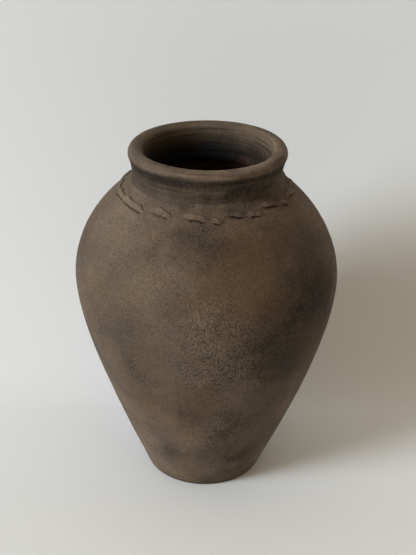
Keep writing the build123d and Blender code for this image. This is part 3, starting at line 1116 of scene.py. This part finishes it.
@dataclass(frozen=True)
class PinchPattern:
    """The row of pinches round the foot of the neck."""

    pinches: tuple[Pinch, ...] = (
        Pinch(-88, -65, 5.0, 12.0, 11.8, 2.7),
        Pinch(-71, -51, 4.0, 11.6, 12.4, 2.8),
        Pinch(-58, -41.5, 5.0, 12.0, 13.2, 2.7),
        Pinch(-40.5, -21.5, 0.5, 8.0, 10.5, 2.4),
        Pinch(-15.5, 3.0, 1.0, 7.0, 11.0, 2.1),
        Pinch(3.5, 10.5, 6.0, 10.5, 13.5, 2.1),
        Pinch(11.5, 26.0, -1.0, 3.0, 9.0, 2.1),
        Pinch(27.5, 37.0, 3.5, 8.0, 11.0, 2.4),
        Pinch(38.0, 55.5, -2.0, 1.5, 7.0, 2.4),
        Pinch(56.5, 65.5, 4.0, 8.0, 12.5, 2.3),
        Pinch(68, 84, 0.5, 5.5, 11.0, 2.7),
        Pinch(86, 103, 1.0, 6.0, 12.0, 2.8),
        Pinch(105, 119, 0.0, 5.0, 10.5, 2.4),
        Pinch(121, 139, 1.5, 7.5, 12.5, 2.8),
        Pinch(141, 155, 0.0, 6.0, 11.0, 2.6),
        Pinch(157, 176, 1.0, 6.5, 12.0, 3.0),
        Pinch(178, 192, 0.5, 5.0, 11.5, 2.4),
        Pinch(194, 211, 1.0, 7.0, 12.0, 2.8),
        Pinch(213, 228, 0.5, 6.0, 11.0, 2.6),
        Pinch(230, 246, 1.5, 8.0, 12.5, 2.8),
        Pinch(248, 262, 2.0, 8.0, 12.5, 2.7),
        Pinch(263, 276, 4.0, 9.5, 13.0, 2.7),
    )
    start: float = -90.0
    grid: float = 0.25
    rounding: float = 0.6
    # Wrinkles that the thumb leaves along a pinch: number in a full turn, and strength
    wrinkles: tuple[tuple[int, float], ...] = ((47, 0.5), (83, 0.35), (131, 0.25))
    lift_wrinkle: float = 0.3
    line_wrinkle: float = 0.7
    least_lift: float = 0.35
    # A slit opens only under the higher part of a brow
    cut_lifts: tuple[float, float] = (1.45, 2.1)
    # A brow's top never comes nearer to its slit than this
    brow_gap: float = 1.0
    # A brow is highest a little before its middle, and blunt at both ends
    brow_skew: float = 0.8
    brow_bluntness: float = 0.6
    # The rounding reaches over this many times its own size
    rounding_reach: float = 3.0

    def wrinkle(self, turn: np.ndarray, shift: float) -> np.ndarray:
        """Gives an uneven wave round the jar.

        Args:
            turn: degrees from the front.
            shift: sets apart the waves of different lines.

        Returns:
            The wave, about from -1 to 1.
        """
        bent = np.radians(turn) + shift
        return np.sum([depth * np.sin(count * bent + count) for count, depth in self.wrinkles], axis=0)

    @cached_property
    def table(self) -> tuple[np.ndarray, np.ndarray, np.ndarray, np.ndarray]:
        """Works out the pinches' lines at close angles over one turn, with thumb-rounded corners.

        Returns:
            The angles, and the brow, the slit and the lift at each.
        """
        turn = np.arange(self.start, self.start + 360.0, self.grid)
        ends = [angle for pinch in self.pinches for angle in (pinch.first, pinch.last)]
        drops = [drop for pinch in self.pinches for drop in (pinch.start, pinch.end)]
        slit = np.interp(turn, ends, drops, period=360.0)
        brow = slit - self.brow_gap
        lift = np.full_like(turn, self.least_lift)
        for pinch in self.pinches:
            share = ((turn - pinch.first) % 360.0) / (pinch.last - pinch.first)
            on = share < 1
            share = np.clip(share, 0, 1)
            tall = (pinch.start + pinch.end) / 2 - pinch.brow - self.brow_gap
            arch = np.sin(math.pi * share**self.brow_skew) ** self.brow_bluntness
            proud = pinch.lift * np.sin(math.pi * share) ** self.brow_bluntness
            brow = np.where(on, np.minimum(brow, slit - self.brow_gap - tall * arch), brow)
            lift = np.where(on, np.maximum(lift, proud), lift)
        lift = lift * (1 + self.lift_wrinkle * self.wrinkle(turn, 0.0))
        brow = brow + self.line_wrinkle * self.wrinkle(turn, 1.0)
        slit = slit + self.line_wrinkle * self.wrinkle(turn, 2.0)
        reach = round(self.rounding_reach * self.rounding / self.grid)
        bell = np.exp(-0.5 * (np.arange(-reach, reach + 1) * self.grid / self.rounding) ** 2)
        brow, slit, lift = (
            np.convolve(np.concatenate([line[-reach:], line, line[:reach]]), bell / bell.sum(), "valid")
            for line in (np.minimum(brow, slit - self.brow_gap), slit, lift)
        )
        return turn, brow, slit, lift

    def cut(self, lift: np.ndarray) -> np.ndarray:
        """Says how far the slit is cut, from 0 to 1, where the brow stands proud by lift."""
        return np.clip((lift - self.cut_lifts[0]) / (self.cut_lifts[1] - self.cut_lifts[0]), 0, 1)

    def lines(self, angle: np.ndarray) -> tuple[np.ndarray, np.ndarray, np.ndarray]:
        """Gives the pinches' lines all round.

        Args:
            angle: degrees from the front.

        Returns:
            How far the brow and the slit lie below the foot of the neck, and the brow's lift.
        """
        turn, *table = self.table
        brow, slit, lift = (np.interp(angle, turn, line, period=360.0) for line in table)
        return brow, slit, lift


@dataclass
class TurnedPiece:
    """A ring or disc of the jar, turned from an outline and replacing one CAD node."""

    node: str
    section: JarSection
    handwork: Handwork
    pattern: PinchPattern
    finishes: dict[Slot, bpy.types.Material]
    slot: Slot = Slot.SMOKED
    steps: int = 480
    outside_spacing: float = 2.0
    inside_spacing: float = 3.5
    outside_ridges: float = 0.3
    inside_ridges: float = 1.0
    smooth_angle: float = 45.0
    raw_height: float = 350.0
    # The slit that the thumb nail cut under each brow of the band, and the painted shade in it
    slit_shift: float = 0.6
    slit_width: float = 1.1
    slit_shade: float = 0.75

    def outline(self) -> np.ndarray:
        """Gives the piece's closed outline; each kind of piece has its own."""
        raise NotImplementedError

    def ridged(self, line: np.ndarray, strength: float) -> np.ndarray:
        """Adds the throwing ridges to a wall line.

        Args:
            line: points of the wall.
            strength: how strong the ridges are.

        Returns:
            The points, moved a little in or out.
        """
        moved = line.copy()
        moved[:, 0] += self.handwork.ridges(line[:, 1], strength)
        return moved

    def build(self) -> bpy.types.Object:
        """Makes the piece, shapes it by hand, dresses it and sets it in the frame.

        Returns:
            The finished piece.
        """
        piece = spin_outline(f"{self.node}_clay", self.outline(), self.steps)
        self.shape(piece)
        # The painted shade in the band's slits is kept on the points
        slit_shade_layer = piece.data.attributes.new(SLIT_SHADE_ATTRIBUTE, "FLOAT", "POINT")
        slit_shade_layer.data.foreach_set("value", self.slit_shade_and_rub(read_points(piece)))
        self.handwork.soften(piece)
        bpy.ops.object.shade_smooth_by_angle(angle=math.radians(self.smooth_angle))
        self.dress(piece)
        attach(piece, "root")
        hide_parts(self.node)
        return piece

    def shape(self, piece: bpy.types.Object) -> None:
        """Shapes the spun piece further; a plain ring needs nothing more."""

    def near_slit(self, places: np.ndarray) -> np.ndarray:
        """Says how near each point lies to the slit under the band's brows.

        Args:
            places: the piece's points in metres.

        Returns:
            1 in the middle of a slit, falling to 0 away from it and where a slit runs out.
        """
        _, slit, lift = self.pattern.lines(angle_round(places))
        line = self.section.outside.at(self.section.root - slit - self.slit_shift)
        away = np.linalg.norm(flattened(places) - line, axis=1)
        return self.pattern.cut(lift) * np.exp(-((away / self.slit_width) ** 2))

    def slit_shade_and_rub(self, places: np.ndarray) -> np.ndarray:
        """Gives the painted shade in the slits, from 0 to 1, for the piece's points in metres."""
        return self.slit_shade * self.near_slit(places)

    def bare(self, face: bpy.types.MeshPolygon) -> bool:
        """Says whether a face is inside the jar, where the clay is bare."""
        outward = face.normal.x * face.center.x + face.normal.y * face.center.y
        return face.center.z < self.raw_height * MM and outward < 0

    def dress(self, piece: bpy.types.Object) -> None:
        """Gives the outside its finish and bare clay to the inside.

        Args:
            piece: the piece to dress.
        """
        piece.data.materials.append(self.finishes[self.slot])
        piece.data.materials.append(self.finishes[Slot.RAW])
        bare = [int(self.bare(face)) for face in piece.data.polygons]
        piece.data.polygons.foreach_set("material_index", bare)


@dataclass
class WallCourse(TurnedPiece):
    """One coil of the wall, drawn up between two seams."""

    lower: int = 0
    upper: int = 1
    # How deep the thumb nail cut
    nail: float = 1.0

    def outline(self) -> np.ndarray:
        """Outside up, across the upper seam, inside down and across the lower seam."""
        low, high = self.section.seams[self.lower], self.section.seams[self.upper]
        outer = self.section.outside.between(low.outside, high.outside, self.outside_spacing)
        inner = self.section.inside.between(high.inside, low.inside, self.inside_spacing)
        return np.concatenate([
            self.ridged(outer, self.outside_ridges),
            high.line[1:-1],
            self.ridged(inner, self.inside_ridges),
            low.line[-2:0:-1],
        ])

    def shape(self, piece: bpy.types.Object) -> None:
        """Cuts the slits of the thumb nail into the wall.

        Args:
            piece: the spun coil.
        """
        places = read_points(piece)
        inward = self.nail * MM * self.near_slit(places) / np.hypot(places[:, 0], places[:, 1])
        places[:, :2] *= 1 - inward[:, None]
        write_points(piece, places)


@dataclass
class FootCourse(TurnedPiece):
    """The lowest coil, which stands on the base disc."""

    def outline(self) -> np.ndarray:
        """Outside up from the disc, across the first seam and down to the floor's corner."""
        high = self.section.seams[0]
        seat = np.array([self.section.foot_radius, self.section.floor_thickness])
        start = self.section.outside.nearest(seat)
        outer = self.section.outside.between(start, high.outside, self.outside_spacing)
        outer[0, 1] = self.section.floor_thickness
        inner = self.section.inside.between(high.inside, self.section.inside.length, self.inside_spacing)
        return np.concatenate([
            self.ridged(outer, self.outside_ridges),
            high.line[1:-1],
            self.ridged(inner, self.inside_ridges),
        ])


@dataclass
class RimRoll(TurnedPiece):
    """The rolled rim, folded over the neck's top."""

    outside_spacing: float = 0.8
    inside_spacing: float = 0.8
    inside_ridges: float = 1.2
    # The top dips by up to about this much, in waves with a number in a full turn, a share and a shift
    sway: float = 0.7
    sway_middle: float = 0.5
    sway_waves: tuple[tuple[int, float, float], ...] = ((2, 0.3, 0.6), (3, 0.2, 0.0))

    def outline(self) -> np.ndarray:
        """Over the lip from the outside to the throat, and back across the seam."""
        low = self.section.seams[-1]
        outer = self.section.outside.between(low.outside, self.section.outside.length, self.outside_spacing)
        lip = self.section.lip.between(0, self.section.lip.length, self.outside_spacing)
        inner = self.section.inside.between(0, low.inside, self.inside_spacing)
        return np.concatenate([
            self.ridged(outer, self.outside_ridges),
            lip[1:-1],
            self.ridged(inner, self.inside_ridges),
            low.line[-2:0:-1],
        ])

    def shape(self, piece: bpy.types.Object) -> None:
        """Lets the top of the rim sway a little below its full height.

        Args:
            piece: the spun rim.
        """
        foot = self.section.lip_centre[1] * MM
        for vertex in piece.data.vertices:
            if vertex.co.z > foot:
                turn = math.atan2(vertex.co.y, vertex.co.x)
                waves = (depth * math.sin(count * turn + shift) for count, depth, shift in self.sway_waves)
                dip = self.sway_middle - sum(waves)
                share = (vertex.co.z - foot) / (self.section.lip_roll * MM)
                vertex.co.z -= self.sway * MM * dip * share


@dataclass
class BaseDisc(TurnedPiece):
    """The thick disc on which the jar was built, bare on its upper side, the jar's floor."""

    underside_spacing: float = 6.0
    # How far the standing face is worn off
    worn: float = 0.02
    # Every so many points of the arc round the edge are kept
    edge_stride: int = 25
    floor_facing: float = 0.9

    def outline(self) -> np.ndarray:
        """Under the disc, round its worn edge, up its side and back over the floor."""
        outside, edge = self.section.outside, self.section.foot_round
        thickness = self.section.floor_thickness
        span = edge * math.tan(math.radians(90 - self.section.foot_lean) / 2)
        centre = (self.section.foot_radius - span, edge)
        rounded = arc(centre, edge, -90.0, -self.section.foot_lean)
        round_edge = rounded[self.edge_stride :: self.edge_stride]
        top = outside.nearest(np.array([self.section.foot_radius, thickness]))
        side = outside.between(2 * edge, top, self.outside_spacing)
        side[-1, 1] = thickness
        steps = round(centre[0] / self.underside_spacing)
        under = np.linspace([0.0, self.worn], [centre[0], self.worn], steps)
        steps = round(self.section.corner[0] / self.underside_spacing)
        floor = np.linspace([self.section.corner[0], thickness], [0.0, thickness], steps)
        return np.concatenate([under, round_edge, side, floor])

    def bare(self, face: bpy.types.MeshPolygon) -> bool:
        """Says whether a face looks up into the jar."""
        return face.normal.z > self.floor_facing


@dataclass
class FloorCoil(TurnedPiece):
    """The soft coil smeared into the corner of floor and wall."""

    slot: Slot = Slot.RAW
    # How far the coil reaches over the floor and up the wall, and how far its face is hollowed
    reach: float = 12.0
    climb: float = 8.6
    hollow: float = 1.5
    face_points: int = 14
    # How far up the wall its back is pressed on, and how deep wall and floor take it
    back_climb: float = 4.0
    bed: float = 0.3

    def outline(self) -> np.ndarray:
        """A hollow fillet from the floor to the wall, bedded a little into both."""
        corner = self.section.corner
        rise = self.section.foot_rise
        toe = corner - np.array([self.reach, 0.0])
        top = corner + rise * self.climb
        chord = top - toe
        sag = np.array([chord[1], -chord[0]]) / np.linalg.norm(chord) * self.hollow
        t = np.linspace(0, 1, self.face_points)[:, None]
        face = (1 - t) ** 2 * toe + 2 * (1 - t) * t * ((toe + top) / 2 + 2 * sag) + t**2 * top
        back = corner + rise * self.back_climb + [self.bed, 0.0]
        return np.concatenate([face, [back, corner - [0.0, self.bed]]])


@dataclass
class PinchedBand(TurnedPiece):
    """The strip of clay pressed over the neck's joint and pinched into brows along its edge."""

    steps: int = 1080
    smooth_angle: float = 60.0
    # Angle at which the stand-in strip is drawn before the pinches are pressed in
    drawn_at: float = 180.0
    # Thickness of the strip where it is smeared flat, and how deep its edges and back are bedded
    pressed: float = 0.5
    feather: float = 0.2
    bedded: float = 0.8
    # Upper edge of the strip, above the foot of the neck, and how much higher it lies on the right
    smear: float = 5.5
    smear_tilt: float = 3.0
    # Rows down the smeared strip, down the front of a brow, and back under it
    strip_shares: tuple[float, ...] = (0.0, 0.15, 0.35, 0.6, 0.8, 0.93)
    strip_rise: tuple[float, ...] = (0.0, 0.4, 0.75, 1.0, 1.0, 1.0)
    brow_shares: tuple[float, ...] = (0.0, 0.07, 0.16, 0.28, 0.42, 0.58, 0.73, 0.85, 0.93, 0.98, 1.0)
    brow_rise: tuple[float, ...] = (0.1, 0.55, 0.88, 1.0, 1.0, 0.97, 0.93, 0.88, 0.8, 0.64, 0.42)
    under_shares: tuple[float, ...] = (0.98, 0.92, 0.84)
    under_rise: tuple[float, ...] = (0.28, 0.15, 0.05)
    under_depths: tuple[float, ...] = (0.25, 0.4, 0.6)
    # How much cleaner a brow's front is rubbed for each millimetre that it stands proud
    rubbed: float = 0.06

    def outline(self) -> np.ndarray:
        """A stand-in strip with the rows that the pinches are then pressed into."""
        return self.rows(np.array([self.drawn_at]))[0]

    def rows(self, angle: np.ndarray) -> np.ndarray:
        """Works out the strip's section at each angle.

        Args:
            angle: degrees from the front.

        Returns:
            For each angle, the closed section as rows of radius and height.
        """
        brow, slit, lift = self.pattern.lines(angle)
        upper = -self.smear - self.smear_tilt * np.sin(np.radians(angle))
        down = []
        off = []
        for share, rise in zip(self.strip_shares, self.strip_rise):
            down.append(upper + (brow - upper) * share)
            off.append(np.full_like(brow, rise * (self.pressed + self.feather) - self.feather))
        for share, rise in zip(self.brow_shares, self.brow_rise):
            down.append(brow + (slit - brow) * share)
            off.append(lift * rise + self.pressed - (self.pressed + self.feather) * share)
        for share, rise, depth in zip(self.under_shares, self.under_rise, self.under_depths):
            down.append(brow + (slit - brow) * share)
            off.append(lift * rise - depth)
        for share in self.strip_shares[:0:-1]:
            down.append(upper + (brow - upper) * share)
            off.append(np.full_like(brow, -self.bedded))
        along = self.section.root - np.array(down)
        ahead = self.section.outside.heading(along)
        outward = np.stack([ahead[..., 1], -ahead[..., 0]], axis=-1)
        places = self.section.outside.at(along) + outward * np.array(off)[..., None]
        return places.transpose(1, 0, 2)

    def bare(self, face: bpy.types.MeshPolygon) -> bool:
        """Says that no face of the band is bare."""
        return False

    def slit_shade_and_rub(self, places: np.ndarray) -> np.ndarray:
        """Gives the painted shade under each brow, and less than none on its rubbed front.

        Args:
            places: the band's points in metres.

        Returns:
            The painted shade at each point.
        """
        angle = angle_round(places)
        away = self.rows(angle) - flattened(places)[:, None, :]
        row = np.argmin(np.linalg.norm(away, axis=2), axis=1)
        front = len(self.strip_shares)
        nose = front + len(self.brow_shares) - 1
        lift = self.pattern.lines(angle)[2]
        rubbed = np.where(row >= front, -self.rubbed * lift, 0.0)
        return np.where(row >= nose, self.pattern.cut(lift), rubbed)

    def shape(self, piece: bpy.types.Object) -> None:
        """Presses the pinches into the spun strip, each row moved to its place at its angle.

        Args:
            piece: the spun strip.
        """
        places = read_points(piece)
        angle = angle_round(places)
        away = flattened(places)[:, None, :] - self.outline()[None, :, :]
        row = np.argmin(np.linalg.norm(away, axis=2), axis=1)
        radius, height = (self.rows(angle)[np.arange(len(row)), row] * MM).T
        turn = np.radians(angle)
        write_points(piece, np.stack([radius * np.sin(turn), -radius * np.cos(turn), height], axis=1))


@dataclass
class Studio:
    """Pale paper swept up behind the jar, a large soft lamp on the left, a warm room and the camera."""

    floor_span: float = 40000.0
    # The paper leaves the floor behind the foot, and stands upright after this reach and rise
    sweep_start: float = 85.0
    sweep_reach: float = 240.0
    sweep_rise: float = 560.0
    sweep_steps: int = 40
    wall_rise: float = 2000.0
    key_turn: float = -59.5
    key_height: float = 28.0
    key_distance: float = 11000.0
    key_width: float = 3300.0
    key_tall: float = 4600.0
    key_power: float = 1165.0
    key_colour: str = "ebf6ff"
    room_colour: str = "ffe8c1"
    # Light from the room's walls and from its paler ceiling
    wall_level: float = 0.066
    ceiling_level: float = 0.66
    backdrop_colour: str = "dcdcd9"
    camera_place: tuple[float, float, float] = (1.75, -1001.8, 763.8)
    camera_tilt: float = 62.426
    camera_roll: float = 0.618
    lens: float = 64.86
    sensor: float = 36.0

    def build(self) -> None:
        """Makes the floor, the lights and the camera."""
        self.lay_floor()
        self.light()
        self.aim_camera()

    def lay_floor(self) -> None:
        """Rolls the paper out, sweeps it up behind the jar, and lays more floor behind the sweep."""
        turn = np.linspace(0, math.pi / 2, self.sweep_steps + 1)
        sweep = np.stack([self.sweep_reach * np.sin(turn), self.sweep_rise * (1 - np.cos(turn))], axis=1)
        sweep += [self.sweep_start, 0.0]
        far = self.floor_span / 2
        paper = BackdropPaper().build()
        self.lay_sheet("studio_floor", [[-far, 0.0], *sweep, sweep[-1] + [0.0, self.wall_rise]], paper)
        self.lay_sheet("studio_floor_behind", [sweep[0], [far, 0.0]], paper)

    def lay_sheet(self, name: str, line: Sequence[Sequence[float]], paper: bpy.types.Material) -> None:
        """Draws a line from front to back and pulls it out sideways to a sheet.

        Args:
            name: the sheet's name.
            line: the line's points, each as a distance behind the jar's axis and a height.
            paper: the sheet's material.
        """
        points = np.array([[-self.floor_span / 2, *point] for point in line]) * MM
        sheet = draw_line(name, points)
        bpy.ops.mesh.select_all(action="SELECT")
        bpy.ops.mesh.extrude_region_move(TRANSFORM_OT_translate={"value": (self.floor_span * MM, 0.0, 0.0)})
        bpy.ops.mesh.select_all(action="SELECT")
        bpy.ops.mesh.flip_normals()
        bpy.ops.object.mode_set(mode="OBJECT")
        bpy.ops.object.shade_smooth()
        sheet.data.materials.append(paper)

    def light(self) -> None:
        """Sets the lamp and the room's own light, and shows a pale backdrop beyond the floor."""
        turn, rise = math.radians(self.key_turn), math.radians(self.key_height)
        away = np.array([math.sin(turn) * math.cos(rise), -math.cos(turn) * math.cos(rise), math.sin(rise)])
        bpy.ops.object.light_add(type="AREA", location=tuple(away * self.key_distance * MM))
        key = bpy.context.object
        key.name = "window_key"
        key.data.shape = "RECTANGLE"
        key.data.size = self.key_width * MM
        key.data.size_y = self.key_tall * MM
        key.data.energy = self.key_power
        key.data.color = linear(self.key_colour)[:3]
        key.rotation_euler = (math.pi / 2 - rise, 0.0, turn)

        world = bpy.data.worlds.new("room")
        bpy.context.scene.world = world
        tree = empty_tree(world)
        path = add_node(tree, "LightPath")
        seen = path["Is Camera Ray"]
        for ray in ("Is Glossy Ray", "Is Transmission Ray"):
            seen = add_node(tree, "Math", {0: seen, 1: path[ray]}, operation="MAXIMUM")[0]
        toward = add_node(tree, "TexCoord")["Generated"]
        upward = add_node(tree, "SeparateXYZ", {0: toward})["Z"]
        level = add_node(
            tree, "MapRange", {"Value": upward, "To Min": self.wall_level, "To Max": self.ceiling_level}
        )[0]
        room = add_node(tree, "Background", {"Color": linear(self.room_colour), "Strength": level})[0]
        backdrop = add_node(tree, "Background", {"Color": linear(self.backdrop_colour)})[0]
        mixed = add_node(tree, "MixShader", {0: seen, 1: room, 2: backdrop})[0]
        add_node(tree, "OutputWorld", {"Surface": mixed})

    def aim_camera(self) -> None:
        """Stands the camera where the photograph was taken from."""
        bpy.ops.object.camera_add(location=tuple(c * MM for c in self.camera_place))
        camera = bpy.context.object
        camera.name = "photo_camera"
        camera.data.lens = self.lens
        camera.data.sensor_width = self.sensor
        camera.data.sensor_fit = "AUTO"
        camera.rotation_mode = "XYZ"
        camera.rotation_euler = (math.radians(self.camera_tilt), 0.0, 0.0)
        camera.rotation_euler.rotate_axis("Z", math.radians(self.camera_roll))
        scene = bpy.context.scene
        scene.camera = camera
        scene.view_settings.view_transform = "Standard"


@dataclass
class Pithos:
    """The whole jar: its section, its finishes and its pieces in the order of making."""

    section: JarSection = field(default_factory=JarSection)
    handwork: Handwork = field(default_factory=Handwork)
    pattern: PinchPattern = field(default_factory=PinchPattern)

    def pieces(self) -> list[TurnedPiece]:
        """Lists the pieces from the foot to the rim.

        Returns:
            The pieces, not yet built.
        """
        finishes = {
            Slot.SMOKED: SmokedTerracotta(self.section).build(),
            Slot.RAW: RawTerracotta().build(),
        }
        common = {
            "section": self.section, "handwork": self.handwork,
            "pattern": self.pattern, "finishes": finishes,
        }
        courses = ["lower_course", "middle_course", "belly_course", "upper_course"]
        walls = [
            WallCourse(name, lower=number, upper=number + 1, **common)
            for number, name in enumerate(courses)
        ]
        # The shoulder and the neck carry the band's slits and are seen closest, so they are finer
        shoulder = WallCourse(
            "shoulder_course", lower=4, upper=5, steps=900, outside_spacing=0.8, **common
        )
        neck = WallCourse(
            "neck_collar", lower=5, upper=6, outside_spacing=0.8, inside_spacing=0.8,
            inside_ridges=1.2, **common,
        )
        return [
            BaseDisc("base_disc", **common),
            FloorCoil("floor_coil", **common),
            FootCourse("foot_course", **common),
            *walls,
            shoulder,
            neck,
            PinchedBand("pinched_band", **common),
            RimRoll("rim_roll", **common),
        ]


def main() -> None:
    logging.basicConfig(level=logging.INFO, format="%(name)s: %(message)s")
    for plan in Pithos().pieces():
        piece = plan.build()
        LOG.info("%s: %d faces", piece.name, len(piece.data.polygons))
    Studio().build()
    LOG.info("studio ready")


if __name__ == "__main__":
    main()
